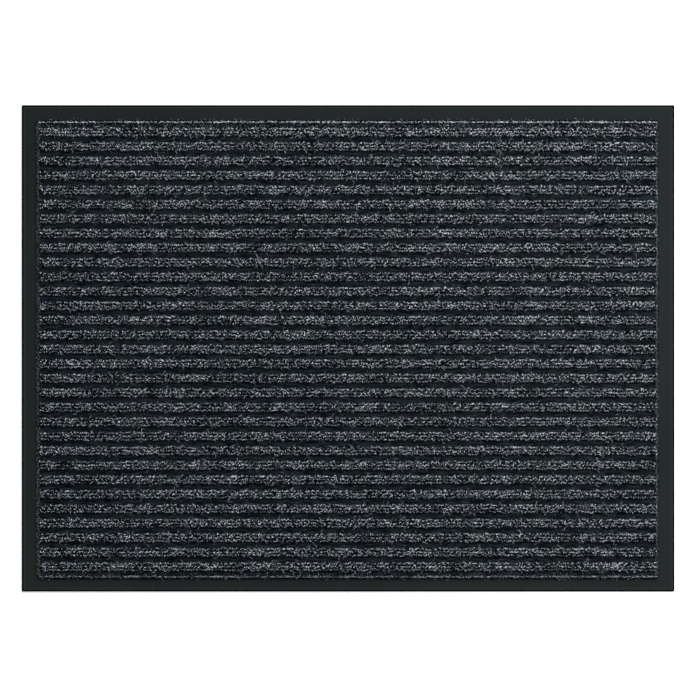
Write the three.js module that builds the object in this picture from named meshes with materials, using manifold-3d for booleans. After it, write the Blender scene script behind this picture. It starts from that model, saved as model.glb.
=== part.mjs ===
// Door mat: a ribbed needle-felt carpet let into a moulded rubber backing with a raised border.
// Units are millimetres, +Z is up and +X runs along the ribs, the mat's long side.
// The origin is in the middle of the underside, so the mat lies on the plane z = 0.

import * as THREE from "three";
import { mergeVertices } from "three/addons/utils/BufferGeometryUtils.js";
import Module from "manifold-3d";

// Overall size of the backing.
const MAT_LENGTH = 800; // along X
const MAT_WIDTH = 596; // along Y
const MAT_CORNER_RADIUS = 1.5;

// Border moulded in one with the backing: its width on each side, and its section.
const BORDER_SIDE = 19.8;
const BORDER_BACK = 18.6;
const BORDER_FRONT = 15.9;
const BORDER_HEIGHT = 2.5;
const OUTER_ROUND_WIDTH = 2;
const OUTER_ROUND_HEIGHT = 1.75;
const OUTER_ROUND_STEPS = 4;
const LIP_CHAMFER = 0.5;

// Tray that the carpet lies in.
const TRAY_FLOOR = 1.5;
const CARPET_CLEARANCE = 0.3;
const CARPET_CORNER_RADIUS = 3;

// Layers of the carpet.
const BOND_THICKNESS = 0.25;
const FELT_THICKNESS = 1.75;

// Ribs of raised pile, all alike, centred between the carpet's back and front edges.
const RIB_WIDTH = 10.7;
const RIB_HEIGHT = 3.5;
const RIB_SHOULDER = 1.6; // radius of the rib's two upper corners
const VALLEY_WIDTH = 7.05;
const CUT_RIB_LEAST = 1.2; // narrowest strip of rib that is left standing at a cut edge

// Upright fibres along the two cut ends of the carpet.
const END_EDGE_WIDTH = 1.5;
const END_EDGE_HEIGHT = 1.25;
const PILE_CLEARANCE = 0.3; // between the rib ends and the fibres of the cut edge

// Fineness of round corners, in segments to a quarter turn.
const CORNER_STEPS = 4;
const MERGE_DISTANCE = 1e-4;
const CUTTER_MARGIN = 5; // how far a cutting solid runs past what it cuts

// Levels and lengths that follow from the sizes above.
const BOND_TOP = TRAY_FLOOR + BOND_THICKNESS;
const FELT_TOP = BOND_TOP + FELT_THICKNESS;
const CARPET_LENGTH = MAT_LENGTH - 2 * (BORDER_SIDE + CARPET_CLEARANCE);
const CARPET_BACK = MAT_WIDTH / 2 - BORDER_BACK - CARPET_CLEARANCE;
const CARPET_FRONT = -MAT_WIDTH / 2 + BORDER_FRONT + CARPET_CLEARANCE;
const CARPET_WIDTH = CARPET_BACK - CARPET_FRONT;
const CARPET_MIDDLE = (CARPET_BACK + CARPET_FRONT) / 2;
const RIB_PITCH = RIB_WIDTH + VALLEY_WIDTH;
const RIB_COUNT = Math.floor(
  (CARPET_WIDTH - VALLEY_WIDTH - 2 * CUT_RIB_LEAST) / RIB_PITCH,
);
const RIB_LENGTH = CARPET_LENGTH - 2 * (END_EDGE_WIDTH + PILE_CLEARANCE);

const wasm = await Module();
wasm.setup();

const RUBBER = { color: 0x26292a, roughness: 0.62, metalness: 0 };
const BONDING_COAT = { color: 0x1b1c1e, roughness: 0.8, metalness: 0 };
const DARK_FELT = { color: 0x1a1d23, roughness: 0.95, metalness: 0 };
const HEATHER_PILE = { color: 0x4a4b50, roughness: 0.95, metalness: 0 };
const CUT_FIBRES = { color: 0x55575b, roughness: 0.95, metalness: 0 };

function solidFrom(geometry) {
  const bare = geometry.clone();
  bare.deleteAttribute("normal");
  bare.deleteAttribute("uv");
  const merged = mergeVertices(bare, MERGE_DISTANCE);
  return new wasm.Manifold(
    new wasm.Mesh({
      numProp: 3,
      vertProperties: merged.attributes.position.array,
      triVerts: new Uint32Array(merged.index.array),
    }),
  );
}

function geometryFrom(solid) {
  const mesh = solid.getMesh();
  const geometry = new THREE.BufferGeometry();
  geometry.setAttribute("position", new THREE.BufferAttribute(mesh.vertProperties, 3));
  geometry.setIndex(new THREE.BufferAttribute(mesh.triVerts, 1));
  geometry.computeVertexNormals();
  return geometry;
}

function meshOf(name, geometry, finish) {
  const mesh = new THREE.Mesh(geometry, new THREE.MeshStandardMaterial(finish));
  mesh.name = name;
  return mesh;
}

// Rectangle about (0, middleY) with round corners.
function roundedRectangle(length, width, radius, middleY = 0) {
  const right = length / 2 - radius;
  const back = middleY + width / 2 - radius;
  const front = middleY - width / 2 + radius;
  const shape = new THREE.Shape();
  shape.absarc(right, back, radius, 0, Math.PI / 2);
  shape.absarc(-right, back, radius, Math.PI / 2, Math.PI);
  shape.absarc(-right, front, radius, Math.PI, 1.5 * Math.PI);
  shape.absarc(right, front, radius, 1.5 * Math.PI, 2 * Math.PI);
  shape.closePath();
  return shape;
}

// Upright prism between two levels. Both faces are set to their level itself, so that
// layers which share a level meet face to face.
function layer(shape, low, high) {
  const options = { depth: 1, bevelEnabled: false, curveSegments: CORNER_STEPS };
  const geometry = new THREE.ExtrudeGeometry(shape, options);
  const position = geometry.attributes.position;
  for (let i = 0; i < position.count; i += 1) {
    position.setZ(i, position.getZ(i) > 0.5 ? high : low);
  }
  return geometry;
}

function carpetOutline(growth = 0) {
  return roundedRectangle(
    CARPET_LENGTH + 2 * growth,
    CARPET_WIDTH + 2 * growth,
    CARPET_CORNER_RADIUS + growth,
    CARPET_MIDDLE,
  );
}

// The border's outer edge falls in a quarter ellipse to a short upright foot.
function roundedSlab() {
  const flat = new THREE.Shape();
  const halfLength = MAT_LENGTH / 2 - OUTER_ROUND_WIDTH;
  const halfWidth = MAT_WIDTH / 2 - OUTER_ROUND_WIDTH;
  flat.moveTo(-halfLength, -halfWidth);
  flat.lineTo(halfLength, -halfWidth);
  flat.lineTo(halfLength, halfWidth);
  flat.lineTo(-halfLength, halfWidth);
  flat.closePath();
  const geometry = new THREE.ExtrudeGeometry(flat, {
    depth: BORDER_HEIGHT - OUTER_ROUND_HEIGHT + CUTTER_MARGIN,
    bevelEnabled: true,
    bevelThickness: OUTER_ROUND_HEIGHT,
    bevelSize: OUTER_ROUND_WIDTH,
    bevelSegments: OUTER_ROUND_STEPS,
  });
  geometry.translate(0, 0, -CUTTER_MARGIN);
  return solidFrom(geometry);
}

// The cutter flares by the chamfer's width at the border's top face.
function trayCutter() {
  const outline = carpetOutline(CARPET_CLEARANCE);
  const well = solidFrom(layer(outline, TRAY_FLOOR, BORDER_HEIGHT + CUTTER_MARGIN));
  const flare = new THREE.ExtrudeGeometry(outline, {
    depth: CUTTER_MARGIN,
    bevelEnabled: true,
    bevelThickness: LIP_CHAMFER,
    bevelSize: LIP_CHAMFER,
    bevelSegments: 1,
    curveSegments: CORNER_STEPS,
  });
  flare.translate(0, 0, BORDER_HEIGHT);
  return well.add(solidFrom(flare));
}

function backingSheet() {
  const outline = roundedRectangle(MAT_LENGTH, MAT_WIDTH, MAT_CORNER_RADIUS);
  const corners = solidFrom(layer(outline, 0, BORDER_HEIGHT + CUTTER_MARGIN));
  const sheet = roundedSlab().intersect(corners).subtract(trayCutter());
  return meshOf("backing_sheet", geometryFrom(sheet), RUBBER);
}

// Turns a shape drawn as (Y, Z) into a bar along X.
function barAlongX(shape, length) {
  const options = { depth: length, bevelEnabled: false, curveSegments: CORNER_STEPS };
  const geometry = new THREE.ExtrudeGeometry(shape, options);
  geometry.translate(0, 0, -length / 2);
  const turned = new THREE.Matrix4().makeBasis(
    new THREE.Vector3(0, 1, 0),
    new THREE.Vector3(0, 0, 1),
    new THREE.Vector3(1, 0, 0),
  );
  return geometry.applyMatrix4(turned);
}

// Flat underneath, with two round shoulders.
function ribSection() {
  const half = RIB_WIDTH / 2;
  const inner = half - RIB_SHOULDER;
  const level = RIB_HEIGHT - RIB_SHOULDER;
  const shape = new THREE.Shape();
  shape.moveTo(-half, 0);
  shape.lineTo(half, 0);
  shape.absarc(inner, level, RIB_SHOULDER, 0, Math.PI / 2);
  shape.absarc(-inner, level, RIB_SHOULDER, Math.PI / 2, Math.PI);
  shape.closePath();
  return shape;
}

// Ribs are counted from the back, and each is a bar of pile on the felt.
function pileRibs() {
  const ribs = new THREE.Group();
  const geometry = barAlongX(ribSection(), RIB_LENGTH);
  const first = CARPET_MIDDLE + ((RIB_COUNT - 1) / 2) * RIB_PITCH;
  for (let number = 1; number <= RIB_COUNT; number += 1) {
    const name = `pile_rib_${String(number).padStart(2, "0")}`;
    const rib = meshOf(name, geometry, HEATHER_PILE);
    rib.position.set(0, first - (number - 1) * RIB_PITCH, FELT_TOP);
    ribs.add(rib);
  }
  return ribs;
}

// The next rib of the pattern, as far as the carpet's cut edge has left it.
function cutRib(name, side) {
  const bar = barAlongX(ribSection(), MAT_LENGTH);
  const offset = ((RIB_COUNT + 1) / 2) * RIB_PITCH;
  bar.translate(0, CARPET_MIDDLE + side * offset, FELT_TOP);
  const room = layer(carpetOutline(), FELT_TOP - CUTTER_MARGIN, FELT_TOP + 2 * RIB_HEIGHT);
  const left = solidFrom(bar).intersect(solidFrom(room));
  return meshOf(name, geometryFrom(left), HEATHER_PILE);
}

// Row of upright fibres on an end of the carpet, between the two cut ribs.
function endEdge(name, side) {
  const pattern = (RIB_COUNT - 1) * RIB_PITCH + RIB_WIDTH;
  const width = pattern + 2 * (VALLEY_WIDTH - PILE_CLEARANCE);
  const geometry = new THREE.BoxGeometry(END_EDGE_WIDTH, width, END_EDGE_HEIGHT);
  geometry.translate(0, 0, END_EDGE_HEIGHT / 2);
  const edge = meshOf(name, geometry, CUT_FIBRES);
  const x = side * (CARPET_LENGTH / 2 - END_EDGE_WIDTH / 2);
  edge.position.set(x, CARPET_MIDDLE, FELT_TOP);
  return edge;
}

function carpet() {
  const group = new THREE.Group();
  const outline = carpetOutline();
  group.add(meshOf("bond_coat", layer(outline, TRAY_FLOOR, BOND_TOP), BONDING_COAT));
  group.add(meshOf("felt_ground", layer(outline, BOND_TOP, FELT_TOP), DARK_FELT));
  group.add(pileRibs());
  group.add(cutRib("cut_rib_back", 1));
  group.add(cutRib("cut_rib_front", -1));
  group.add(endEdge("cut_edge_left", -1));
  group.add(endEdge("cut_edge_right", 1));
  return group;
}

const mat = new THREE.Group();
mat.add(backingSheet());
mat.add(carpet());

export default mat;
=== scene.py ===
# %% [markdown]
# # A ribbed door mat
#
# The mat is three things in one: a moulded rubber backing with a raised border, a sheet of dark
# needled felt let into it, and 31 ribs of heathered loops that stand on the felt. This file
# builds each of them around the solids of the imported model, which give every place and size.

# %% Load the frame
import math

import bmesh
import bpy
import numpy as np
from mathutils import Matrix, Vector, noise


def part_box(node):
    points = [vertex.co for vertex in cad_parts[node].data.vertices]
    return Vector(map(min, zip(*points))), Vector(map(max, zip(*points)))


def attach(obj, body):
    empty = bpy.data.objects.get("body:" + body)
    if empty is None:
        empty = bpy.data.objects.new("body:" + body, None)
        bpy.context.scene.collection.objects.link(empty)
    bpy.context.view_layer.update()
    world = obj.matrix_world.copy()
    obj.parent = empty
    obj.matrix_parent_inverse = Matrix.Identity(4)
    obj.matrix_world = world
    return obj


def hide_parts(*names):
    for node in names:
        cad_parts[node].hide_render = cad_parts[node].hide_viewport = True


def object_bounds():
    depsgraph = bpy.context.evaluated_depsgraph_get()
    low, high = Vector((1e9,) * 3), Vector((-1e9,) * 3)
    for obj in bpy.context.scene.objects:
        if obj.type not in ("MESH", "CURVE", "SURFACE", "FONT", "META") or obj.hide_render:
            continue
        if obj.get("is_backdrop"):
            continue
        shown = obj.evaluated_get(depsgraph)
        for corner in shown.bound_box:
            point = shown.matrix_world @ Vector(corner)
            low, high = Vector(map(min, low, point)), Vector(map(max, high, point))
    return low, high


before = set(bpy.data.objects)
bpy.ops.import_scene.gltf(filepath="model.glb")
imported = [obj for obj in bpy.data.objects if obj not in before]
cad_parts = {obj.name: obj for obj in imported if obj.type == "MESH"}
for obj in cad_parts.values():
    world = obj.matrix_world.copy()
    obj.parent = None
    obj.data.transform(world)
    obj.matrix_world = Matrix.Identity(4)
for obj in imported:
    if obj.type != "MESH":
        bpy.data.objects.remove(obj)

MM = 0.001
TINY = 1e-6  # a thousandth of a millimetre, for comparing places
cad_low, cad_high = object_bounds()
backing_low, backing_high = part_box("backing_sheet")
felt_low, felt_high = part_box("felt_ground")
rib_names = sorted(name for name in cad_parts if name.startswith("pile_rib_"))
print("mat", [round(v / MM, 1) for v in cad_high - cad_low], "mm,", len(rib_names), "ribs")


# %% [markdown]
# ## Helpers for meshes
#
# Every piece starts as a bmesh, gets its shape from operators, and ends as an object that sits
# at the origin with its place in its mesh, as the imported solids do. `finish_piece` makes that
# object, sets its shading, gives it its material and ties it to the mat's one body.
# `mesh_from` turns the bmesh into a mesh with its faces pointing outwards, and counts the edges
# that still lack a neighbour, since a sound piece has none.

# %% Turn a mesh into a finished piece
def finish_piece(mesh, name, material, replaced, smooth=True):
    piece = bpy.data.objects.new(name, mesh)
    bpy.context.scene.collection.objects.link(piece)
    mesh.materials.append(material)
    if smooth:
        mesh.polygons.foreach_set("use_smooth", [True] * len(mesh.polygons))
    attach(piece, "root")
    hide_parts(*replaced)
    triangles = sum(len(p.vertices) - 2 for p in mesh.polygons)
    print(name, triangles, "triangles")
    return piece


def mesh_from(bm, name):
    bmesh.ops.recalc_face_normals(bm, faces=bm.faces)
    open_edges = sum(not edge.is_manifold for edge in bm.edges)
    mesh = bpy.data.meshes.new(name)
    bm.to_mesh(mesh)
    bm.free()
    print(name, "open edges:", open_edges)
    return mesh


# %% [markdown]
# ## Helpers for materials
#
# A node tree is quickest to read as a list of nodes and links, so a few short helpers make a
# node, set it and join its sockets. Effects that several finishes share are node groups with
# named sockets: a moulded grain, crossing fibres, and dust that has settled in patches.

# %% Make nodes, materials and groups
def add(tree, kind, inputs=None, **settings):
    node = tree.nodes.new(kind)
    for key, value in settings.items():
        setattr(node, key, value)
    for key, value in (inputs or {}).items():
        if isinstance(value, bpy.types.NodeSocket):
            tree.links.new(value, node.inputs[key])
        else:
            node.inputs[key].default_value = value
    return node


def new_material(name):
    material = bpy.data.materials.new(name)
    material.use_nodes = True
    return material, material.node_tree, material.node_tree.nodes["Principled BSDF"]


def new_group(name, inputs, outputs):
    group = bpy.data.node_groups.new(name, "ShaderNodeTree")
    for label, kind, value in inputs:
        socket = group.interface.new_socket(label, in_out="INPUT", socket_type=kind)
        if value is not None:
            socket.default_value = value
    for label, kind in outputs:
        group.interface.new_socket(label, in_out="OUTPUT", socket_type=kind)
    return group, group.nodes.new("NodeGroupInput"), group.nodes.new("NodeGroupOutput")


def use_group(tree, group, inputs):
    return add(tree, "ShaderNodeGroup", inputs, node_tree=group)


def object_place(tree):
    return tree.nodes.new("ShaderNodeTexCoord").outputs["Object"]


def ramp(tree, factor, stops):
    node = add(tree, "ShaderNodeValToRGB", {"Fac": factor})
    elements = node.color_ramp.elements
    while len(elements) < len(stops):
        elements.new(0.5)
    for element, (place, colour) in zip(elements, stops):
        element.position = place
        element.color = (*colour, 1)
    return node.outputs["Color"]


def mix(tree, factor, first, second, blend="MIX"):
    node = add(tree, "ShaderNodeMix", data_type="RGBA", blend_type=blend)
    for socket, value in ((node.inputs[0], factor), (node.inputs[6], first), (node.inputs[7], second)):
        if isinstance(value, bpy.types.NodeSocket):
            tree.links.new(value, socket)
        else:
            socket.default_value = value if isinstance(value, float) else (*value, 1)
    return node.outputs[2]


def remap(tree, value, low, high, to_low, to_high):
    inputs = {"Value": value, "From Min": low, "From Max": high, "To Min": to_low, "To Max": to_high}
    return add(tree, "ShaderNodeMapRange", inputs).outputs["Result"]


# %% [markdown]
# ### Moulded grain
#
# Rubber pressed in a steel mould comes out with a fine pebbled grain. Voronoi cells give the
# pebbles and a little noise keeps them from looking like tiles.

# %% Group: moulded grain
MOTTLES_PER_METRE = 14.0


def moulded_grain():
    group, given, out = new_group(
        "moulded_grain",
        [("Place", "NodeSocketVector", None), ("Grains per metre", "NodeSocketFloat", 900.0)],
        [("Height", "NodeSocketFloat"), ("Mottle", "NodeSocketFloat")],
    )
    place, scale = given.outputs["Place"], given.outputs["Grains per metre"]
    pebbles = add(group, "ShaderNodeTexVoronoi", {"Vector": place, "Scale": scale}, feature="SMOOTH_F1")
    rough = add(group, "ShaderNodeTexNoise", {"Vector": place, "Scale": scale, "Detail": 3.0})
    height = add(
        group, "ShaderNodeMath", {0: pebbles.outputs["Distance"], 1: rough.outputs["Fac"]}, operation="ADD"
    )
    cloud = add(group, "ShaderNodeTexNoise", {"Vector": place, "Scale": MOTTLES_PER_METRE, "Detail": 4.0})
    group.links.new(height.outputs[0], out.inputs["Height"])
    group.links.new(cloud.outputs["Fac"], out.inputs["Mottle"])
    return group


grain_group = moulded_grain()


# %% [markdown]
# ### Crossing fibres
#
# Needled felt is a tangle: fibres lie every way, with the needles' punches between them. Two
# noises, each stretched along its own direction, cross to give that tangle.

# %% Group: crossing fibres
FIBRE_LAYERS = ((0.5, 7.0), (-0.7, 6.0))  # each layer's turn in radians, and its stretch


def crossing_fibres():
    group, given, out = new_group(
        "crossing_fibres",
        [("Place", "NodeSocketVector", None), ("Fibres per metre", "NodeSocketFloat", 1600.0)],
        [("Height", "NodeSocketFloat"), ("Tone", "NodeSocketFloat")],
    )
    layers = []
    for turn, stretch in FIBRE_LAYERS:
        turned = add(
            group,
            "ShaderNodeMapping",
            {
                "Vector": given.outputs["Place"],
                "Rotation": (0.0, 0.0, turn),
                "Scale": (1.0 / stretch, 1.0, 1.0),
            },
        )
        fibres = add(
            group,
            "ShaderNodeTexNoise",
            {"Vector": turned.outputs["Vector"], "Scale": given.outputs["Fibres per metre"], "Detail": 2.0},
        )
        layers.append(fibres.outputs["Fac"])
    height = add(group, "ShaderNodeMath", {0: layers[0], 1: layers[1]}, operation="MAXIMUM")
    tone = add(group, "ShaderNodeMath", {0: layers[0], 1: layers[1]}, operation="MULTIPLY")
    group.links.new(height.outputs[0], out.inputs["Height"])
    group.links.new(tone.outputs[0], out.inputs["Tone"])
    return group


fibre_group = crossing_fibres()


# %% [markdown]
# ### Settled dust
#
# A mat is never quite clean. Dust lies in soft patches, made of specks too small to see one by
# one, so a broad noise is multiplied by a fine one.

# %% Group: settled dust
PATCHES_PER_METRE = 9.0
SPECKS_PER_METRE = 1500.0


def settled_dust():
    group, given, out = new_group(
        "settled_dust",
        [("Place", "NodeSocketVector", None), ("Amount", "NodeSocketFloat", 0.3)],
        [("Mask", "NodeSocketFloat")],
    )
    place = given.outputs["Place"]
    patches = add(group, "ShaderNodeTexNoise", {"Vector": place, "Scale": PATCHES_PER_METRE, "Detail": 5.0})
    specks = add(group, "ShaderNodeTexNoise", {"Vector": place, "Scale": SPECKS_PER_METRE, "Detail": 1.0})
    soft = remap(group, patches.outputs["Fac"], 0.42, 0.7, 0.0, 1.0)
    sharp = remap(group, specks.outputs["Fac"], 0.45, 0.7, 0.15, 1.0)
    both = add(group, "ShaderNodeMath", {0: soft, 1: sharp}, operation="MULTIPLY")
    amount = add(
        group, "ShaderNodeMath", {0: both.outputs[0], 1: given.outputs["Amount"]}, operation="MULTIPLY"
    )
    group.links.new(amount.outputs[0], out.inputs["Mask"])
    return group


dust_group = settled_dust()

# %% [markdown]
# ## Rubber
#
# Black rubber is never black once it has lain about: the flat border is a soft dark grey with a
# trace of green. A paler line is painted along the crest as a highlight, and the outer edge that
# slopes down to the floor is painted black as shade. The mesh carries its distance from the
# outline as an attribute, so the painted highlight follows the border round its corners.

# %% Material: rubber
BORDER_TONE = (0.0079, 0.0101, 0.0102)
BORDER_TONE_PALE = (0.0104, 0.0132, 0.0134)
# The next two are a painted shade for the outer edge that slopes to the floor, and a painted highlight
# along the crest.
EDGE_SHADE_TONE = (0.0008, 0.0010, 0.0010)
CREST_HIGHLIGHT_TONE = (0.0180, 0.0215, 0.0216)
DUST_TONE = (0.060, 0.060, 0.057)
RUBBER_GLOSS = 0.03
EDGE_SPAN = 20.0  # the attribute from_edge runs from 0 to 1 over this many millimetres
# The band of painted shade on the outer edge, and then the band of painted highlight along the crest.
EDGE_SHADE_STOPS = [(0.105, (1, 1, 1)), (0.122, (0, 0, 0))]  # the black outer edge, along from_edge
CREST_HIGHLIGHT_STOPS = [(0.122, (0, 0, 0)), (0.138, (1, 1, 1)), (0.175, (0.4, 0.4, 0.4)), (0.25, (0, 0, 0))]


def rubber_material():
    material, tree, shader = new_material("moulded_rubber")
    place = object_place(tree)
    grain = use_group(tree, grain_group, {"Place": place, "Grains per metre": 950.0})
    dust = use_group(tree, dust_group, {"Place": place, "Amount": 0.10})
    from_edge = add(tree, "ShaderNodeAttribute", attribute_name="from_edge").outputs["Fac"]
    body = mix(tree, grain.outputs["Mottle"], BORDER_TONE, BORDER_TONE_PALE)
    # A painted highlight along the crest, and painted shade on the outer edge beyond it.
    crest_highlighted = mix(tree, ramp(tree, from_edge, CREST_HIGHLIGHT_STOPS), body, CREST_HIGHLIGHT_TONE)
    edge_shade_mask = ramp(tree, from_edge, EDGE_SHADE_STOPS)
    edge_shaded = mix(tree, edge_shade_mask, crest_highlighted, EDGE_SHADE_TONE)
    dusty = mix(tree, dust.outputs["Mask"], edge_shaded, DUST_TONE)
    tree.links.new(dusty, shader.inputs["Base Color"])
    rough = remap(tree, grain.outputs["Height"], 0.4, 1.3, 0.5, 0.72)
    matt = add(tree, "ShaderNodeMath", {0: rough, 1: edge_shade_mask}, operation="MAXIMUM")
    tree.links.new(matt.outputs[0], shader.inputs["Roughness"])
    shader.inputs["Specular IOR Level"].default_value = RUBBER_GLOSS
    bump = add(
        tree, "ShaderNodeBump", {"Height": grain.outputs["Height"], "Strength": 0.35, "Distance": 0.05 * MM}
    )
    tree.links.new(bump.outputs["Normal"], shader.inputs["Normal"])
    return material


rubber = rubber_material()

# %% [markdown]
# ## The backing
#
# The backing is a shallow tray pressed in one piece. It starts as a block: its upright corners
# and upper rim are bevelled round, the top face is inset into a crest, a crown and the lip of
# the tray, and the tray is sunk. Boolean cuts would give the same outline, but insets keep clean
# rings of faces for the attribute and the highlights to follow.

# %% Sizes of the backing, in millimetres
RIM_ROUND = 1.4  # radius of the outer rim
RIM_STEPS = 5
CREST_RINGS = ((0.35, 0.06), (0.5, 0.05), (0.7, -0.08))  # each ring's width, and its rise
CROWN_WIDTH = 5.5
LIP_MARGIN = 3.0  # from the last square ring to the tray's wall
TRAY_GAP = 0.3  # between the carpet and the tray's wall
CARPET_CORNER = 3.0
CORNER_STEPS = 4
LIP_ROUND = 0.45
LIP_STEPS = 3
FLOOR_DROP = 0.02  # keeps the tray's floor clear of the bonding coat
SAME_HEIGHT = 1e-7  # metres, for telling level faces and edges


# %% The block with its round rim
def edges_between(bm, test):
    return [e for e in bm.edges if all(test(v.co) for v in e.verts)]


def face_at(bm, height):
    flat = [f for f in bm.faces if abs(f.calc_center_median().z - height) < SAME_HEIGHT]
    return max(flat, key=lambda f: f.calc_area())


def rounded_block():
    bm = bmesh.new()
    size = backing_high - backing_low
    bmesh.ops.create_cube(bm, size=1.0)
    bmesh.ops.scale(bm, vec=size, verts=bm.verts)
    bmesh.ops.translate(bm, vec=(backing_low + backing_high) / 2, verts=bm.verts)
    top = backing_high.z
    rim = edges_between(bm, lambda p: p.z > top - TINY)
    upright = [e for e in bm.edges if abs(e.verts[0].co.z - e.verts[1].co.z) > TINY]
    bmesh.ops.bevel(
        bm,
        geom=rim + upright,
        offset=RIM_ROUND * MM,
        offset_type="OFFSET",
        segments=RIM_STEPS,
        profile=0.5,
        affect="EDGES",
        material=-1,
    )
    return bm


# %% Crest and crown
def raise_border(bm):
    face = face_at(bm, backing_high.z)
    for width, rise in CREST_RINGS:
        bmesh.ops.inset_region(bm, faces=[face], thickness=width * MM, use_even_offset=True)
        bmesh.ops.translate(bm, vec=(0, 0, rise * MM), verts=face.verts)
    bmesh.ops.inset_region(bm, faces=[face], thickness=CROWN_WIDTH * MM, use_even_offset=True)
    return face


# %% [markdown]
# ### Tray
#
# The carpet doesn't lie in the middle of the mat, so the borders differ in width. The last
# square ring is therefore set to a rectangle just outside the tray. A second rectangle, with
# round corners, is bridged to it, sunk, and given its round lip. Both loops lie level and one
# inside the other, so the bridge stays flat.

# %% Sink the tray
def fit_to(bm, verts, low, high):
    old_low = Vector(min(v.co[i] for v in verts) for i in range(2))
    old_high = Vector(max(v.co[i] for v in verts) for i in range(2))
    for vert in verts:
        for axis in range(2):
            share = (vert.co[axis] - old_low[axis]) / (old_high[axis] - old_low[axis])
            vert.co[axis] = low[axis] + share * (high[axis] - low[axis])


def rounded_outline(bm, low, high, height, radius, steps):
    made = bmesh.ops.create_grid(bm, x_segments=1, y_segments=1, size=0.5)["verts"]
    fit_to(bm, made, low, high)
    for vert in made:
        vert.co.z = height
    cut = bmesh.ops.bevel(
        bm, geom=made, offset=radius, segments=steps, profile=0.5, affect="VERTICES", material=-1
    )
    return max({f for v in cut["verts"] for f in v.link_faces}, key=lambda f: f.calc_area())


def sink_tray(bm, face):
    wall_low = Vector((felt_low.x - TRAY_GAP * MM, felt_low.y - TRAY_GAP * MM))
    wall_high = Vector((felt_high.x + TRAY_GAP * MM, felt_high.y + TRAY_GAP * MM))
    margin = Vector((LIP_MARGIN * MM, LIP_MARGIN * MM))
    fit_to(bm, face.verts, wall_low - margin, wall_high + margin)
    height = face.verts[0].co.z
    square = list(face.edges)
    bmesh.ops.delete(bm, geom=[face], context="FACES_ONLY")
    radius = (CARPET_CORNER + TRAY_GAP) * MM
    tray = rounded_outline(bm, wall_low, wall_high, height, radius, CORNER_STEPS)
    mouth = list(tray.edges)
    bmesh.ops.bridge_loops(bm, edges=square + mouth)
    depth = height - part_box("bond_coat")[0].z + FLOOR_DROP * MM
    sunk = bmesh.ops.extrude_discrete_faces(bm, faces=[tray])["faces"][0]
    bmesh.ops.translate(bm, vec=(0, 0, -depth), verts=sunk.verts)
    bmesh.ops.remove_doubles(bm, verts=bm.verts, dist=0.5e-6)
    lip = [e for e in bm.edges if is_lip(e, height)]
    bmesh.ops.bevel(
        bm, geom=lip, offset=LIP_ROUND * MM, segments=LIP_STEPS, profile=0.5, affect="EDGES", material=-1
    )


def is_lip(edge, height):
    level = all(abs(v.co.z - height) < SAME_HEIGHT for v in edge.verts)
    steep = [abs(f.normal.z) < 0.1 for f in edge.link_faces]
    return level and any(steep) and not all(steep)


backing_mesh = rounded_block()
crown_face = raise_border(backing_mesh)
sink_tray(backing_mesh, crown_face)
print("border and tray:", len(backing_mesh.faces), "faces")


# %% [markdown]
# ### Underside
#
# The underside is what keeps the mat from sliding. It is pressed with a waffle of shallow
# squares, and only the lands between them touch the floor. The bottom face is inset and its
# round corners are drawn together, which leaves a plain rectangle inside a margin. Planes cut
# that into cells, and every cell is inset twice: once flat for the land, and once inwards for
# the sloping wall.

# %% Press the grip pattern
GRIP_MARGIN = 9.0
GRIP_PITCH = 12.0
GRIP_LAND = 1.5
GRIP_WALL = 0.45
GRIP_DEPTH = 0.35


def cut_by_planes(bm, faces, axis, low, high, count):
    normal = Vector((1, 0, 0)) if axis == 0 else Vector((0, 1, 0))
    for number in range(1, count):
        place = normal * (low + (high - low) * number / count)
        geom = list({g for f in faces for g in (f, *f.edges, *f.verts)})
        made = bmesh.ops.bisect_plane(bm, geom=geom, plane_co=place, plane_no=normal)
        faces = [g for g in made["geom"] if isinstance(g, bmesh.types.BMFace)]
    return faces


def corner_field(bm):
    """The bottom face, inset until it is a plain rectangle with four corners."""
    bottom = face_at(bm, backing_low.z)
    bmesh.ops.inset_region(bm, faces=[bottom], thickness=RIM_ROUND / 2 * MM, use_even_offset=True)
    middle = bottom.calc_center_median()
    margin = Vector((GRIP_MARGIN * MM, GRIP_MARGIN * MM))
    low, high = backing_low.xy + margin, backing_high.xy - margin
    for x, y in ((low.x, low.y), (high.x, low.y), (high.x, high.y), (low.x, high.y)):
        right, back = x > middle.x, y > middle.y
        near = [v for v in bottom.verts if (v.co.x > middle.x) == right and (v.co.y > middle.y) == back]
        bmesh.ops.pointmerge(bm, verts=near, merge_co=(x, y, backing_low.z))
        bottom = face_at(bm, backing_low.z)
    return bottom, low, high


def press_grip(bm):
    field, low, high = corner_field(bm)
    columns = round((high.x - low.x) / (GRIP_PITCH * MM))
    rows = round((high.y - low.y) / (GRIP_PITCH * MM))
    strips = cut_by_planes(bm, [field], 0, low.x, high.x, columns)
    cells = cut_by_planes(bm, strips, 1, low.y, high.y, rows)
    bmesh.ops.inset_individual(bm, faces=cells, thickness=GRIP_LAND / 2 * MM, use_even_offset=True)
    bmesh.ops.inset_individual(
        bm, faces=cells, thickness=GRIP_WALL * MM, depth=-GRIP_DEPTH * MM, use_even_offset=True
    )
    print("grip cells:", columns, "by", rows, "made", len(cells))


press_grip(backing_mesh)


# %% Finish the backing
def mark_distance(mesh):
    """Writes each vertex's distance from the outline, for the painted crest highlight and the painted edge
    shade to follow.
    """
    marks = mesh.attributes.new("from_edge", "FLOAT", "POINT")
    half = (backing_high - backing_low) / 2
    middle = (backing_high + backing_low) / 2
    places = np.empty(len(mesh.vertices) * 3)
    mesh.vertices.foreach_get("co", places)
    places = np.abs(places.reshape(-1, 3) - np.array(middle))
    inside = np.minimum(half.x - places[:, 0], half.y - places[:, 1]) / (EDGE_SPAN * MM)
    marks.data.foreach_set("value", np.clip(inside, 0, 1))


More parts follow.
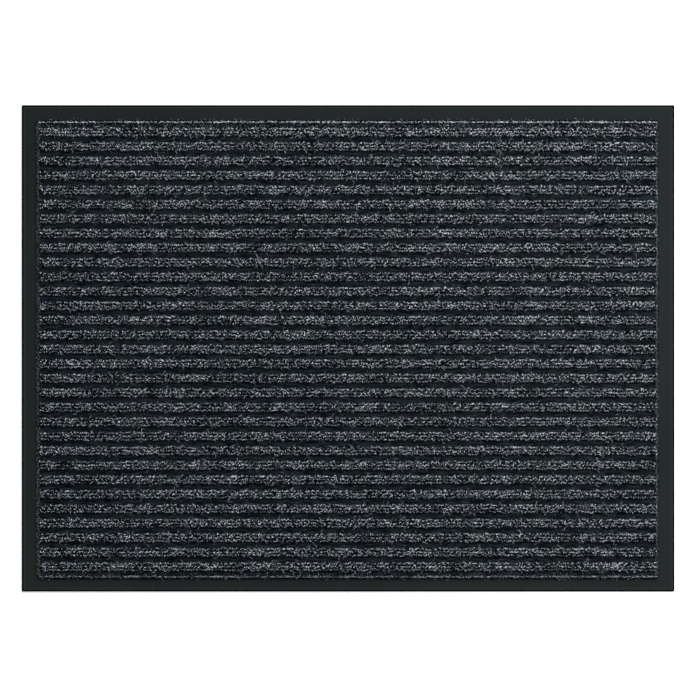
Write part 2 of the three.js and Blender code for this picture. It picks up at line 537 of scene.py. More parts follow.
mesh = mesh_from(backing_mesh, "rubber_backing")
mark_distance(mesh)
finish_piece(mesh, "rubber_backing", rubber, ["backing_sheet"], smooth=False)


# %% [markdown]
# ## Bonding coat
#
# A thin black coat glues the carpet into its tray. Nothing of it shows from above, and the
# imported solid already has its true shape, so that solid stays and only gets a finish: a skin
# with brush marks and the odd thin place.

# %% Material: bonding coat
COAT_THIN = (0.008, 0.008, 0.010)
COAT_THICK = (0.019, 0.019, 0.022)


def bonding_material():
    material, tree, shader = new_material("bonding_coat")
    place = object_place(tree)
    strokes = use_group(tree, fibre_group, {"Place": place, "Fibres per metre": 240.0})
    tone = remap(tree, strokes.outputs["Tone"], 0.15, 0.45, 0.0, 1.0)
    colour = ramp(tree, tone, [(0.0, COAT_THIN), (1.0, COAT_THICK)])
    tree.links.new(colour, shader.inputs["Base Color"])
    tree.links.new(remap(tree, tone, 0.0, 1.0, 0.55, 0.85), shader.inputs["Roughness"])
    bump = add(
        tree, "ShaderNodeBump", {"Height": strokes.outputs["Height"], "Strength": 0.3, "Distance": 0.1 * MM}
    )
    tree.links.new(bump.outputs["Normal"], shader.inputs["Normal"])
    return material


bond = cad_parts["bond_coat"]
bond.data.materials.clear()
bond.data.materials.append(bonding_material())
bond_low, bond_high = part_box("bond_coat")
print("bonding coat", round((bond_high.z - bond_low.z) / MM, 2), "mm thick")


# %% [markdown]
# ## Felt ground
#
# The felt between the ribs is a navy so dark that it reads as black, with single paler fibres
# in it. It is a sheet 1.75 mm thick, needled until its top is faintly lumpy. A grid gives the
# top, noise moves it, and its rim is extruded down to the bonding coat and filled.

# %% Material: dark felt
FELT_DARK = (0.0008, 0.0019, 0.0032)
FELT_LIGHT = (0.0098, 0.0142, 0.0200)
FELT_GREEN = (0.0092, 0.0140, 0.0135)
FLECK_TONE = (0.045, 0.052, 0.058)
HUES_PER_METRE = 24.0  # how fast the felt and the yarn drift from one hue to the next
FIBRE_GLOSS = 0.015


def felt_material():
    material, tree, shader = new_material("dark_felt")
    place = object_place(tree)
    fibres = use_group(tree, fibre_group, {"Place": place, "Fibres per metre": 520.0})
    dust = use_group(tree, dust_group, {"Place": place, "Amount": 0.08})
    tone = remap(tree, fibres.outputs["Tone"], 0.17, 0.35, 0.0, 1.0)
    drift = add(tree, "ShaderNodeTexNoise", {"Vector": place, "Scale": HUES_PER_METRE, "Detail": 1.0})
    swing = remap(tree, drift.outputs["Fac"], 0.38, 0.62, 0.0, 1.0)
    ground = mix(tree, tone, FELT_DARK, mix(tree, swing, FELT_LIGHT, FELT_GREEN))
    odd = add(tree, "ShaderNodeTexNoise", {"Vector": place, "Scale": 420.0, "Detail": 2.0})
    single = remap(tree, odd.outputs["Fac"], 0.66, 0.74, 0.0, 1.0)
    flecked = mix(tree, single, ground, FLECK_TONE)
    tree.links.new(mix(tree, dust.outputs["Mask"], flecked, DUST_TONE), shader.inputs["Base Color"])
    tree.links.new(remap(tree, tone, 0.0, 1.0, 0.80, 0.97), shader.inputs["Roughness"])
    shader.inputs["Specular IOR Level"].default_value = FIBRE_GLOSS
    bump = add(
        tree, "ShaderNodeBump", {"Height": fibres.outputs["Height"], "Strength": 0.6, "Distance": 0.2 * MM}
    )
    tree.links.new(bump.outputs["Normal"], shader.inputs["Normal"])
    return material


felt_finish = felt_material()

# %% The felt sheet
FELT_GRID = 3.5
FELT_LUMPS = 0.12
LUMPS_PER_METRE = 160.0
random = np.random.default_rng(7)


def felt_mesh():
    bm = bmesh.new()
    size = felt_high - felt_low
    columns, rows = round(size.x / (FELT_GRID * MM)), round(size.y / (FELT_GRID * MM))
    bmesh.ops.create_grid(bm, x_segments=columns, y_segments=rows, size=0.5)
    bmesh.ops.scale(bm, vec=(size.x, size.y, 1.0), verts=bm.verts)
    middle = (felt_low + felt_high) / 2
    bmesh.ops.translate(bm, vec=(middle.x, middle.y, felt_high.z), verts=bm.verts)
    pull = CARPET_CORNER * MM * (1 - math.sqrt(0.5))
    for corner in [v for v in bm.verts if len(v.link_faces) == 1]:
        corner.co.x -= math.copysign(pull, corner.co.x - middle.x)
        corner.co.y -= math.copysign(pull, corner.co.y - middle.y)
    for vert in bm.verts:
        vert.co.z += FELT_LUMPS * MM * (noise.noise(vert.co * LUMPS_PER_METRE) - 1.0)
    rim = [e for e in bm.edges if e.is_boundary]
    wall = bmesh.ops.extrude_edge_only(bm, edges=rim)["geom"]
    foot = [g for g in wall if isinstance(g, bmesh.types.BMVert)]
    for vert in foot:
        vert.co.z = felt_low.z
    bmesh.ops.edgeloop_fill(bm, edges=[e for e in bm.edges if e.is_boundary])
    return mesh_from(bm, "needled_felt")


felt = finish_piece(felt_mesh(), "needled_felt", felt_finish, ["felt_ground"])


# %% [markdown]
# ## Heathered pile
#
# The yarn of the ribs is spun from fibres of many greys, so that each loop shows its own shade.
# About a sixth are nearly as dark as the felt, and the rest run up to a pale grey, with a breath
# of lavender, blue or green. Three numbers ride on each loop for the material to read: `shade`
# picks the grey, `tint` the hue, and `depth` runs from the loop's foot to its top. The material
# paints shade near the foot from `depth`.

# %% Material: heathered pile
SHADES = [
    (0.00, (0.0008, 0.0018, 0.0030)),
    (0.15, (0.0130, 0.0175, 0.0205)),
    (0.35, (0.084, 0.101, 0.114)),
    (0.65, (0.262, 0.293, 0.318)),
    (0.88, (0.555, 0.582, 0.612)),
    (1.00, (0.860, 0.870, 0.910)),
]
TINTS = [
    (0.00, (1.03, 0.975, 1.06)),
    (0.40, (0.99, 0.990, 1.03)),
    (0.75, (0.95, 1.015, 1.00)),
    (1.00, (0.99, 1.010, 0.97)),
]
# Painted shade: a loop is darker at its foot, where it dives among the others into the core.
FOOT_SHADE_STOPS = [(0.0, (0.35, 0.35, 0.38)), (0.8, (1, 1, 1))]  # a loop is darker at its foot
OWN_TINT = 0.10  # a loop's own share of its hue. The rest is shared with its neighbours.
BATCHES_PER_METRE = 40.0  # paler and darker patches of yarn, longer along the ribs than across


def read(tree, name):
    return add(tree, "ShaderNodeAttribute", attribute_name=name).outputs["Fac"]


def pile_material(name, shades, dust_amount):
    material, tree, shader = new_material(name)
    place = object_place(tree)
    fibres = use_group(tree, fibre_group, {"Place": place, "Fibres per metre": 2200.0})
    dust = use_group(tree, dust_group, {"Place": place, "Amount": dust_amount})
    wisps = remap(tree, fibres.outputs["Tone"], 0.14, 0.42, -0.10, 0.10)
    drift = add(tree, "ShaderNodeTexNoise", {"Vector": place, "Scale": HUES_PER_METRE, "Detail": 1.0})
    apart = add(tree, "ShaderNodeMapping", {"Vector": place, "Scale": (1.0, 2.6, 1.0)})
    batches = add(tree, "ShaderNodeTexNoise", {"Vector": apart.outputs[0], "Scale": BATCHES_PER_METRE})
    uneven = remap(tree, batches.outputs["Fac"], 0.3, 0.7, -0.10, 0.10)
    shift = add(tree, "ShaderNodeMath", {0: wisps, 1: uneven}, operation="ADD")
    both = {0: read(tree, "shade"), 1: shift.outputs[0]}
    shade = add(tree, "ShaderNodeMath", both, operation="ADD", use_clamp=True)
    grey = ramp(tree, shade.outputs[0], shades)
    swing = remap(tree, drift.outputs["Fac"], 0.36, 0.64, 0.0, 1.0)
    tint = add(tree, "ShaderNodeMix", {0: OWN_TINT, 2: swing, 3: read(tree, "tint")}, data_type="FLOAT")
    hued = mix(tree, 1.0, grey, ramp(tree, tint.outputs["Result"], TINTS), "MULTIPLY")
    # Painted shade towards each loop's foot, and over all of the core, whose depth is zero.
    foot = ramp(tree, read(tree, "depth"), FOOT_SHADE_STOPS)
    sunk = mix(tree, 1.0, hued, foot, "MULTIPLY")
    tree.links.new(mix(tree, dust.outputs["Mask"], sunk, DUST_TONE), shader.inputs["Base Color"])
    tree.links.new(remap(tree, fibres.outputs["Tone"], 0.14, 0.42, 0.95, 0.72), shader.inputs["Roughness"])
    shader.inputs["Specular IOR Level"].default_value = FIBRE_GLOSS
    bump = add(
        tree, "ShaderNodeBump", {"Height": fibres.outputs["Height"], "Strength": 0.5, "Distance": 0.12 * MM}
    )
    tree.links.new(bump.outputs["Normal"], shader.inputs["Normal"])
    return material


heather = pile_material("heathered_pile", SHADES, 0.05)

# %% [markdown]
# ### One loop
#
# A loop of yarn is a short arch. A triangle spun half a turn about a line beside it makes one
# with 11 faces, which is little enough to repeat tens of thousands of times. It could be a
# curve with a bevel, but a mesh can be copied into the rib's own mesh at once. Every vertex is
# then described by three numbers, how far along the arch it is and where it sits in the
# section, so that the same template can be made long, thick, leaning or bent.

# %% Spin the loop
LOOP_STEPS = 3
SECTION_SIDES = 3
SECTION_SIZE = 0.1


def loop_template():
    bm = bmesh.new()
    bmesh.ops.create_circle(bm, cap_ends=True, segments=SECTION_SIDES, radius=SECTION_SIZE)
    bmesh.ops.translate(bm, vec=(1, 0, 0), verts=bm.verts)
    bmesh.ops.spin(
        bm, geom=bm.faces[:], cent=(0, 0, 0), axis=(0, -1, 0), angle=math.pi, steps=LOOP_STEPS
    )
    return mesh_from(bm, "loop_template")


def places_of(mesh):
    places = np.empty(len(mesh.vertices) * 3)
    mesh.vertices.foreach_get("co", places)
    return places.reshape(-1, 3)


loop_mesh = loop_template()
loop_places = places_of(loop_mesh)
arch = np.abs(np.arctan2(loop_places[:, 2], loop_places[:, 0]))  # from 0 to half a turn
outward = (np.hypot(loop_places[:, 0], loop_places[:, 2]) - 1) / SECTION_SIZE
across = loop_places[:, 1] / SECTION_SIZE
print("loop:", len(loop_places), "vertices,", len(loop_mesh.polygons), "faces")


# %% [markdown]
# ### Stamping loops
#
# `shape_loops` works out where the template's vertices go for a whole row of loops at once, and
# `append_copies` adds the template to a bmesh once for each, with those places. numpy does the
# sums, since a loop in Python over every vertex of the pile would take minutes.

# %% Shape and append loops
def shape_loops(loops):
    along = np.cos(arch) * (loops["span"] / 2 + outward * loops["thick"] / 2)
    side = np.sin(arch) * loops["lean"] + np.sin(2 * arch) * loops["bend"] + across * loops["thick"] / 2
    up = np.sin(arch) * (loops["rise"] + outward * loops["thick"] / 2)
    turn = loops["turn"]
    x = loops["x"] + along * np.cos(turn) - side * np.sin(turn)
    y = loops["y"] + along * np.sin(turn) + side * np.cos(turn)
    return np.stack([x, y, loops["z"] + up], axis=-1) * MM


def append_copies(bm, template, places):
    for one in places:
        template.vertices.foreach_set("co", one.ravel())
        bm.from_mesh(template)


def make_loops(count, **ranges):
    """Random loops as a dict of columns. Each range is (mean, spread) of a bell, or a column."""
    loops = {}
    for key, value in ranges.items():
        if isinstance(value, tuple):
            mean, spread = value
            value = np.clip(random.normal(mean, spread, count), mean - 2 * spread, mean + 2 * spread)
        loops[key] = np.broadcast_to(np.asarray(value, float), (count,)).reshape(-1, 1)
    return loops


def join_loops(*several):
    return {key: np.concatenate([loops[key] for loops in several]) for key in several[0]}


# %% [markdown]
# ### A map for the loops
#
# Each loop also gets a small cell of its own in a UV map, like a stamp on a sheet, so that its
# shade can be baked to a picture without touching its neighbours. The side faces fill most
# of the cell, one strip to each side of the section, and the two end caps share the rest. The
# rib's core takes the foot of the map.

# %% Lay out the map
MAP_NAME = "OFBake"
CORE_SHARE = 0.12  # part of the map's height that the core takes
CELL_MARGIN = 0.08
CELL_COLUMNS = 48
STRIPS_END = 0.80  # how far across its cell a loop's side faces reach
CAP_MIDDLE = 0.92  # the two end caps lie beyond them, one above the other
CAP_HEIGHTS = (0.22, 0.77)
CAP_REACH = (0.07, 0.20)


def loop_map():
    ring = np.rint(arch / (math.pi / LOOP_STEPS)).astype(int)
    angle = np.arctan2(across, outward) / (2 * math.pi / SECTION_SIDES)
    strip = np.rint(angle).astype(int) % SECTION_SIDES
    places = []
    for face in loop_mesh.polygons:
        rings, strips = ring[list(face.vertices)], strip[list(face.vertices)]
        if len(face.vertices) == SECTION_SIDES:
            height = CAP_HEIGHTS[0] if rings[0] == 0 else CAP_HEIGHTS[1]
            for number in range(SECTION_SIDES):
                turn = 2 * math.pi * number / SECTION_SIDES
                u = CAP_MIDDLE + CAP_REACH[0] * math.cos(turn)
                places.append((u, height + CAP_REACH[1] * math.sin(turn)))
            continue
        wraps = strips.max() - strips.min() > 1
        for r, s in zip(rings, strips):
            s = SECTION_SIDES if wraps and s == 0 else s
            places.append((s / SECTION_SIDES * STRIPS_END, r / LOOP_STEPS))
    return np.array(places)


def cells_for(count):
    rows = math.ceil(count / CELL_COLUMNS)
    number = np.arange(count)
    corner = np.stack([number % CELL_COLUMNS, number // CELL_COLUMNS], axis=-1).astype(float)
    inside = CELL_MARGIN + loop_map_places * (1 - 2 * CELL_MARGIN)
    cells = (corner[:, None, :] + inside[None, :, :]) / (CELL_COLUMNS, rows)
    cells[..., 1] = CORE_SHARE + cells[..., 1] * (1 - CORE_SHARE)
    return cells.reshape(-1, 2)


loop_map_places = loop_map()
print("map corners for a loop:", len(loop_map_places))


# %% [markdown]
# ### The core of a rib
#
# Under the loops lies the imported mass of the pile, seen only as darkness between them, so its
# colour is painted shade. It is a bar with bevelled shoulders, cut into short lengths by planes so
# that it can be lumpy. The bar is made once, and each rib gets a copy with lumps of its own.

# %% Make the core
CORE_INSET = 0.75  # from the rib's sides and ends
CORE_DROP = 1.15  # from the rib's top
CORE_SINK = 0.15  # into the felt
CORE_STEP = 4.0
CORE_SHOULDER = 1.1
CORE_LUMPS = 0.3
# In the core's part of the map the sides and top take the lower half. Above them lie the
# underside, from its start over its height, and the two ends, side by side.
BELOW_START, BELOW_HEIGHT = 0.55, 0.35
ENDS_START, ENDS_HEIGHT = 0.92, 0.07
LEFT_END, RIGHT_END, END_WIDTH = 0.6, 0.3, 0.2


def bar_mesh(length, width, height, shoulder):
    bm = bmesh.new()
    bmesh.ops.create_cube(bm, size=1.0)
    bmesh.ops.scale(bm, vec=(length * MM, width * MM, height * MM), verts=bm.verts)
    bmesh.ops.translate(bm, vec=(0, 0, height / 2 * MM), verts=bm.verts)
    top = edges_between(bm, lambda p: p.z > 0)
    top = [e for e in top if abs(e.verts[0].co.x - e.verts[1].co.x) > TINY]
    bmesh.ops.bevel(
        bm, geom=top, offset=shoulder * MM, segments=2, profile=0.5, affect="EDGES", material=-1
    )
    count = round(length / CORE_STEP)
    for number in range(1, count):
        place = ((number / count - 0.5) * length * MM, 0, 0)
        geom = bm.verts[:] + bm.edges[:] + bm.faces[:]
        bmesh.ops.bisect_plane(bm, geom=geom, plane_co=place, plane_no=(1, 0, 0))
    return mesh_from(bm, "core")


def bar_map(mesh, length, width, height):
    """Sides and top unrolled to one strip, with the underside and the ends above it."""
    around = width + 2 * height
    places = []
    for face in mesh.polygons:
        for index in face.vertices:
            x, y, z = mesh.vertices[index].co / MM
            u = x / length + 0.5
            v = (y + math.copysign(height - z, y)) / around * 0.5 + 0.25
            if face.normal.z < -0.9:
                v = BELOW_START + (y / width + 0.5) * BELOW_HEIGHT
            if abs(face.normal.x) > 0.9:
                u = (RIGHT_END if face.normal.x > 0 else LEFT_END) + y / width * END_WIDTH
                v = ENDS_START + z / height * ENDS_HEIGHT
            places.append((0.01 + u * 0.98, (0.02 + v * 0.94) * CORE_SHARE))
    return np.array(places)


def lumpy(places):
    """The core's places with lumps. Its underside stays flat."""
    raised = places[:, 2:] > TINY
    push = random.uniform(-1, 1, places.shape) * CORE_LUMPS * MM
    push[:, 0] = 0
    return places + push * raised


rib_low, rib_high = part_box(rib_names[0])
rib_size = (rib_high - rib_low) / MM
core_size = (
    rib_size.x - 2 * CORE_INSET,
    rib_size.y - 2 * CORE_INSET,
    rib_size.z - CORE_DROP + CORE_SINK,
)
core_mesh = bar_mesh(*core_size, CORE_SHOULDER)
core_map = bar_map(core_mesh, *core_size)
print("core", [round(v, 1) for v in core_size], "mm,", len(core_mesh.polygons), "faces")


# %% [markdown]
# ### Join core and loops into one piece
#
# `pile_mesh` copies a core and a set of loops into one mesh, in order, and then lays the
# attributes and the map over it in that same order.

# %% Build a piece of pile
# The core is given a dark shade and a depth of zero, which the material darkens further: painted shade for
# the gaps between the loops.
CORE_PAINTED_SHADE, CORE_TINT = 0.1, 0.4


def pile_mesh(name, core, core_at, core_uv, loops):
    bm = bmesh.new()
    plain = places_of(core)
    first = lumpy(plain) + np.array(core_at) * MM
    append_copies(bm, core, [first])
    core.vertices.foreach_set("co", plain.ravel())  # the next rib starts from the plain bar again
    append_copies(bm, loop_mesh, shape_loops(loops))
    mesh = bpy.data.meshes.new(name)
    bm.to_mesh(mesh)
    bm.free()
    count = len(loops["x"])
    each = len(loop_places)
    foot = np.zeros(len(first))
    # The core's dark shade and zero depth are painted shade.
    columns = {
        "shade": np.concatenate([foot + CORE_PAINTED_SHADE, np.repeat(loops["shade"].ravel(), each)]),
        "tint": np.concatenate([foot + CORE_TINT, np.repeat(loops["tint"].ravel(), each)]),
        "depth": np.concatenate([foot, np.tile(np.sin(arch), count)]),
    }
    for key, values in columns.items():
        mesh.attributes.new(key, "FLOAT", "POINT").data.foreach_set("value", values)
    uv = mesh.uv_layers.new(name=MAP_NAME)
    uv.data.foreach_set("uv", np.concatenate([core_uv, cells_for(count)]).ravel())
    return mesh


# %% [markdown]
# ## The ribs
#
# Each rib is tufted in three rows that lie side by side, so its top shows three low ridges.
# Along a row the loops stand close, each turned and bent its own way. Two thinner rows cover
# the flanks, and now and then a long hair has worked loose and lies across to the next rib.
# More of them lie near the back and front edges, where the knife has loosened the pile.

# %% Lay the loops of one rib
LOOPS_PER_ROW = 760
LOOPS_PER_FLANK = 120
LOOP_RISE = 1.35  # height of a usual arch
ROW_JITTER = 0.78  # how far a loop strays from the middle of its row
TOP_JITTER = 0.13  # and from its row's height
ROW_SHORTER = 1.0  # than the rib
FLANK_SHORTER = 2.4
FLANK_INSET = 0.9
HAIRS_PER_RIB = 44
MORE_AT_BACK = (3.2, 5.0)  # extra share of hairs at that edge, and the ribs over which it fades
MORE_AT_FRONT = (1.3, 3.0)
# Each row: its distance from the rib's middle, the height of its top, and how much darker it is
# painted, as shade that is deepest on the front row, away from the light over the back edge.
ROWS = ((3.65, 6.85, 0.02), (0.0, 7.0, 0.0), (-3.55, 6.55, 0.12))
FLANK_TOP = 5.8
# The flanks' loops are painted darker, as shade on the rib's sides.
FLANK_PAINTED_SHADE = 0.8
HAIR_FOOT = 5.4
BACK_LIFT, BACK_RIBS = 0.04, 9.0  # how much paler the ribs at the back are, and how it fades


def along_row(count, length):
    step = length / count
    return (np.arange(count) + 0.5) * step - length / 2 + random.uniform(-0.6, 0.6, count) * step


def row_of_loops(count, length, y, top, thick=(0.79, 0.10), span=(1.8, 0.45), lean=(0.0, 0.5)):
    rise = random.normal(LOOP_RISE, 0.1, count).clip(1.1, 1.6)
    made = make_loops(
        count,
        x=along_row(count, length),
        y=y,
        span=span,
        thick=thick,
        lean=lean,
        bend=(0.0, 0.38),
        rise=rise,
        turn=random.uniform(0, math.pi, count),
        shade=random.uniform(0, 1, count),
        tint=random.uniform(0, 1, count),
    )
    tops = random.normal(top, TOP_JITTER, (count, 1)).clip(top - 0.3, top + 0.2)
    made["z"] = tops - rise.reshape(-1, 1) - made["thick"] / 2
    return made


def rib_loops(number, middle_y, length):
    rows = []
    for offset, top, darker in ROWS:
        y = middle_y + offset + random.normal(0, ROW_JITTER, LOOPS_PER_ROW).clip(-1.3, 1.3)
        row = row_of_loops(LOOPS_PER_ROW, length - ROW_SHORTER, y, top)
        # Painted shade: each row's loops are darkened by the row's share.
        row["shade"] = row["shade"] * (1 - darker) + BACK_LIFT * math.exp(-number / BACK_RIBS)
        rows.append(row)
    for side in (-1, 1):
        y = middle_y + side * (rib_size.y / 2 - FLANK_INSET) + random.normal(0, 0.25, LOOPS_PER_FLANK)
        flank = row_of_loops(LOOPS_PER_FLANK, length - FLANK_SHORTER, y, FLANK_TOP, span=(1.4, 0.3))
        # Painted shade on the rib's side.
        flank["shade"] = flank["shade"] * FLANK_PAINTED_SHADE
        rows.append(flank)
    rows.append(loose_hairs(number, middle_y, length))
    return join_loops(*rows)


def loose_hairs(number, middle_y, length):
    count = HAIRS_PER_RIB
    for ribs_away, (extra, fade) in ((number, MORE_AT_BACK), (len(rib_names) - number, MORE_AT_FRONT)):
        count += round(HAIRS_PER_RIB * extra * math.exp(-ribs_away / fade))
    return make_loops(
        count,
        x=random.uniform(-0.47, 0.47, count) * length,
        y=middle_y + random.choice([-1.0, 1.0], count) * random.uniform(3.0, 7.5, count),
        z=np.full(count, HAIR_FOOT),
        span=(4.4, 1.6),
        thick=(0.36, 0.07),
        lean=(0.0, 1.2),
        bend=(0.0, 0.7),
        rise=(1.1, 0.15),
        turn=random.uniform(0, math.pi, count),
        shade=random.uniform(0.30, 0.85, count),
        tint=random.uniform(0, 1, count),
    )


# %% Build the 31 ribs
def build_rib(number, name):
    low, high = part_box(name)
    middle = (low + high) / 2 / MM
    loops = rib_loops(number, middle.y, rib_size.x)
    core_at = (middle.x, middle.y, low.z / MM - CORE_SINK)
    mesh = pile_mesh(f"rib_{number:02d}", core_mesh, core_at, core_map, loops)
    finish_piece(mesh, mesh.name, heather, [name])


for number, name in enumerate(rib_names, 1):
    build_rib(number, name)


# %% [markdown]
# ## Cut ribs
#
# The carpet is cut from a wide roll, and the knife left a narrow strip of the next rib along
# its back and front edges. The strips have the loops of the ribs, laid along the edge in two
# close rows, with cut ends that stray over the border and fuzz that fell into the valley.

# %% Build the two cut ribs
CUT_LOOPS = 620
CUT_ROWS = (-0.45, 0.45)  # the two rows, from the middle of the strip
CUT_CORE_LESS = (3.0, 0.7, 1.6)  # how much shorter, narrower and lower the core is than the strip
CUT_CORE_SHOULDER = 0.4
STRAY_ENDS = 420
STRAY_HEIGHT = 4.6
FUZZ_ENDS = {1: 700, -1: 175}  # in the valley beside the back strip, and beside the front one
FUZZ_HEIGHT = 3.6
FUZZ_AWAY = 5.0  # from the strip to the middle of that valley


def stray_ends(count, length, y, z):
    """Fine short ends that lie this way and that, some of them over the border."""
    return make_loops(
        count,
        x=along_row(count, length),
        y=y + random.normal(0, 1.5, count).clip(-2.6, 2.6),
        z=np.full(count, z),
        span=(2.6, 0.8),
        thick=(0.30, 0.05),
        lean=(0.0, 0.5),
        bend=(0.0, 0.3),
        rise=(0.55, 0.15),
        turn=math.pi / 2 + random.normal(0, 0.6, count),
        shade=random.uniform(0, 0.85, count),
        tint=random.uniform(0, 1, count),
    )


def build_cut_rib(name, side, shift, drop, shade_low, shade_high):
    """Side is 1 at the back and -1 at the front. The rows stand `shift` further in, `drop` lower."""
    low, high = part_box(name)
    low, high = low / MM, high / MM
    length, width = high.x - low.x, high.y - low.y
    middle = (low.y + high.y) / 2
    size = [full - less for full, less in zip((length, width, high.z - low.z), CUT_CORE_LESS)]
    core = bar_mesh(*size, CUT_CORE_SHOULDER)
    rows = []
    for offset in CUT_ROWS:
        y = middle - side * shift + offset + random.normal(0, 0.25, CUT_LOOPS).clip(-0.5, 0.5)
        row = row_of_loops(CUT_LOOPS, length - 2.5, y, high.z - drop, lean=(0.0, 0.2))
        row["turn"] = random.normal(0, 0.4, (CUT_LOOPS, 1)).clip(-0.9, 0.9)
        row["shade"] = random.uniform(shade_low, shade_high, (CUT_LOOPS, 1))
        rows.append(row)
    fuzz = stray_ends(FUZZ_ENDS[side], length - 4, middle - side * FUZZ_AWAY, FUZZ_HEIGHT)
    loops = join_loops(*rows, stray_ends(STRAY_ENDS, length - 3, middle, STRAY_HEIGHT), fuzz)
    core_at = (0, middle, low.z - CORE_SINK)
    mesh = pile_mesh(name.replace("cut_rib", "sliced_rib"), core, core_at, bar_map(core, *size), loops)
    finish_piece(mesh, mesh.name, heather, [name])


# The front strip's loops stop at a darker grey than the back's: painted shade on the strip that faces away
# from the back light.
build_cut_rib("cut_rib_back", 1, 1.35, 0.35, 0.05, 0.97)
build_cut_rib("cut_rib_front", -1, 0.8, 1.2, 0.0, 0.68)


# %% [markdown]
# ## Cut edges
#
# Along the carpet's two ends the knife crossed ribs and felt alike, and left a fine line of
# upright fibres, paler than the felt because their ends catch the light. They are the same
# template again, thin and steep.

# %% Material and pieces: cut edges
CUT_SHADES = [
    (0.00, (0.012, 0.014, 0.018)),
    (0.40, (0.045, 0.050, 0.056)),
    (1.00, (0.205, 0.228, 0.232)),
]
EDGE_LOOPS = 1400
EDGE_CORE_LESS = (1.0, 0.6, 0.5)
EDGE_CORE_SHOULDER = 0.3
EDGE_RISE = 1.2
cut_finish = pile_material("cut_fibres", CUT_SHADES, 0.10)


def build_cut_edge(name, shift, spread, shade_low, shade_high):
    """The fibres stand `shift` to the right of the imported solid's middle, and stray by `spread`."""
    low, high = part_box(name)
    low, high = low / MM, high / MM
    length, width = high.y - low.y, high.x - low.x
    middle = (low + high) / 2
    size = [full - less for full, less in zip((length, width, high.z - low.z), EDGE_CORE_LESS)]
    core = bar_mesh(*size, EDGE_CORE_SHOULDER)
    core_uv = bar_map(core, *size)
    core.transform(Matrix.Rotation(math.pi / 2, 4, "Z"))
    fibres = row_of_loops(EDGE_LOOPS, length - 1, 0.0, high.z, thick=(0.55, 0.08), span=(1.3, 0.3))
    fibres["y"] = fibres["x"] + middle.y
    fibres["x"] = middle.x + shift + random.normal(0, spread, (EDGE_LOOPS, 1)).clip(-2.2, 2.2)
    fibres["rise"] = np.full((EDGE_LOOPS, 1), EDGE_RISE)
    fibres["z"] = random.normal(high.z - 1.3, 0.2, (EDGE_LOOPS, 1)).clip(low.z - 0.2, high.z - 1.0)
    fibres["shade"] = random.uniform(shade_low, shade_high, (EDGE_LOOPS, 1))
    fibres["tint"] = random.uniform(0.5, 0.9, (EDGE_LOOPS, 1))
    core_at = (middle.x, middle.y, low.z - CORE_SINK)
    mesh = pile_mesh(name.replace("cut_edge", "fibre_edge"), core, core_at, core_uv, fibres)
    finish_piece(mesh, mesh.name, cut_finish, [name])


build_cut_edge("cut_edge_left", -0.5, 1.2, 0.15, 1.0)
build_cut_edge("cut_edge_right", -1.05, 0.85, 0.2, 1.0)


# %% [markdown]
# ## Studio
#
# The mat lies on a white floor and is seen straight down, from far enough away that its sides
# hardly lean. A broad light far behind the back edge meets each rib on its back shoulder, and
# the rib shades the valley in front of it. A lamp on the right makes that side a little
# brighter, and a pale sky fills the shadows.

# %% Floor
FLOOR_SIZE = 60.0
FLOOR_GLOW = 0.17  # keeps the floor an even white out to where it meets the sky


def floor_material():
    material, tree, shader = new_material("white_floor")
    haze = add(tree, "ShaderNodeTexNoise", {"Vector": object_place(tree), "Scale": 2.0, "Detail": 2.0})
    colour = ramp(tree, haze.outputs["Fac"], [(0.0, (0.93, 0.93, 0.93)), (1.0, (0.95, 0.95, 0.95))])
    tree.links.new(colour, shader.inputs["Base Color"])
    shader.inputs["Roughness"].default_value = 0.9
    shader.inputs["Specular IOR Level"].default_value = 0.1
    tree.links.new(colour, shader.inputs["Emission Color"])
    shader.inputs["Emission Strength"].default_value = FLOOR_GLOW
    return material


def lay_floor():
    bm = bmesh.new()
    bmesh.ops.create_grid(bm, x_segments=2, y_segments=2, size=FLOOR_SIZE / 2)
    floor_mesh = bpy.data.meshes.new("floor")
    bm.to_mesh(floor_mesh)
    bm.free()
    floor = bpy.data.objects.new("floor", floor_mesh)
    floor_mesh.materials.append(floor_material())
    bpy.context.scene.collection.objects.link(floor)
    floor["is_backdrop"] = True


lay_floor()

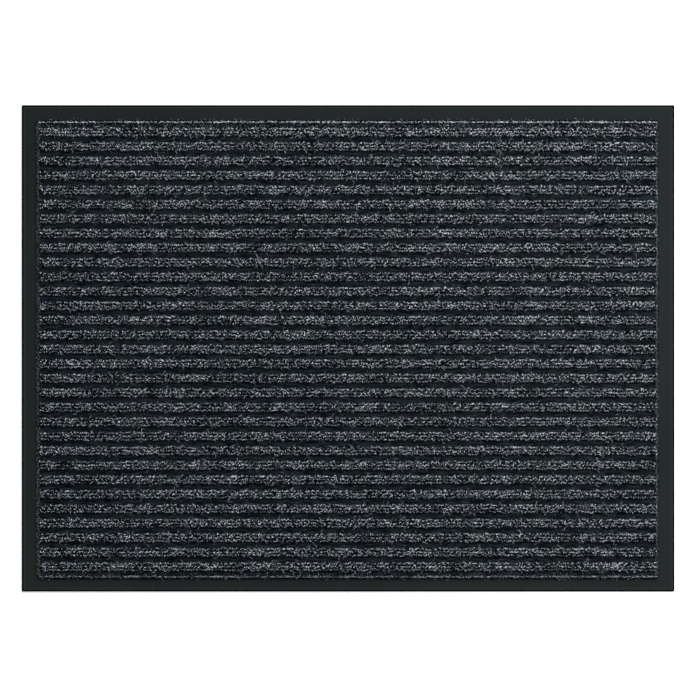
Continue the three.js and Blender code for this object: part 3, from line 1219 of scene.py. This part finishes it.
# %% Lights
SKY_STRENGTH = 0.40
SKY_SEEN = 1.1  # what the camera sees of it
SKY_COLOUR = (0.97, 0.99, 1.0)
BACK_FROM = (0.1, 1.0, 0.68)  # where the light over the back edge comes from
BACK_STRENGTH = 2.85
BACK_SOFTNESS = math.radians(28)
RIGHT_PLACE = (1.65, 0.7, 1.4)
RIGHT_SIZE = 0.9
RIGHT_POWER = 64.0


def hang_light(name, kind, place, energy):
    light = bpy.data.lights.new(name, kind)
    light.energy = energy
    lamp = bpy.data.objects.new(name, light)
    lamp.location = place
    lamp.rotation_euler = (-Vector(place)).to_track_quat("-Z", "Y").to_euler()
    bpy.context.scene.collection.objects.link(lamp)
    return light


def light_the_sky():
    """A soft grey sky for the mat, which the camera itself sees as white."""
    world = bpy.data.worlds.new("sky")
    world.use_nodes = True
    tree = world.node_tree
    background = tree.nodes["Background"]
    background.inputs["Color"].default_value = (*SKY_COLOUR, 1)
    seen = add(tree, "ShaderNodeLightPath").outputs["Is Camera Ray"]
    tree.links.new(remap(tree, seen, 0.0, 1.0, SKY_STRENGTH, SKY_SEEN), background.inputs["Strength"])
    bpy.context.scene.world = world


back_light = hang_light("back_light", "SUN", BACK_FROM, BACK_STRENGTH)
back_light.angle = BACK_SOFTNESS
right_light = hang_light("right_light", "AREA", RIGHT_PLACE, RIGHT_POWER)
right_light.size = RIGHT_SIZE
light_the_sky()

# %% Camera
LENS, SENSOR = 300.0, 36.0
VIEW_ACROSS = 852.8  # what the picture spans at the height of the border
VIEW_MIDDLE = (-0.15, 0.3)


def set_camera():
    data = bpy.data.cameras.new("camera")
    data.lens, data.sensor_width = LENS, SENSOR
    camera = bpy.data.objects.new("camera", data)
    height = backing_high.z + VIEW_ACROSS * MM * LENS / SENSOR
    camera.location = (VIEW_MIDDLE[0] * MM, VIEW_MIDDLE[1] * MM, height)
    bpy.context.scene.collection.objects.link(camera)
    bpy.context.scene.camera = camera
    bpy.context.scene.view_settings.view_transform = "Standard"
    print("camera", round(height, 3), "m above the floor")


set_camera()

# %% [markdown]
# ## Size
#
# Last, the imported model's box and the finished mat's are written side by side. Hairs and stray
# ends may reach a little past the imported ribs, and the outline must not grow.

# %% Write both boxes
low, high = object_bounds()
for label, growth in (("below", cad_low - low), ("above", high - cad_high)):
    print("grown", label, "by", [round(v / MM, 2) for v in growth], "mm")
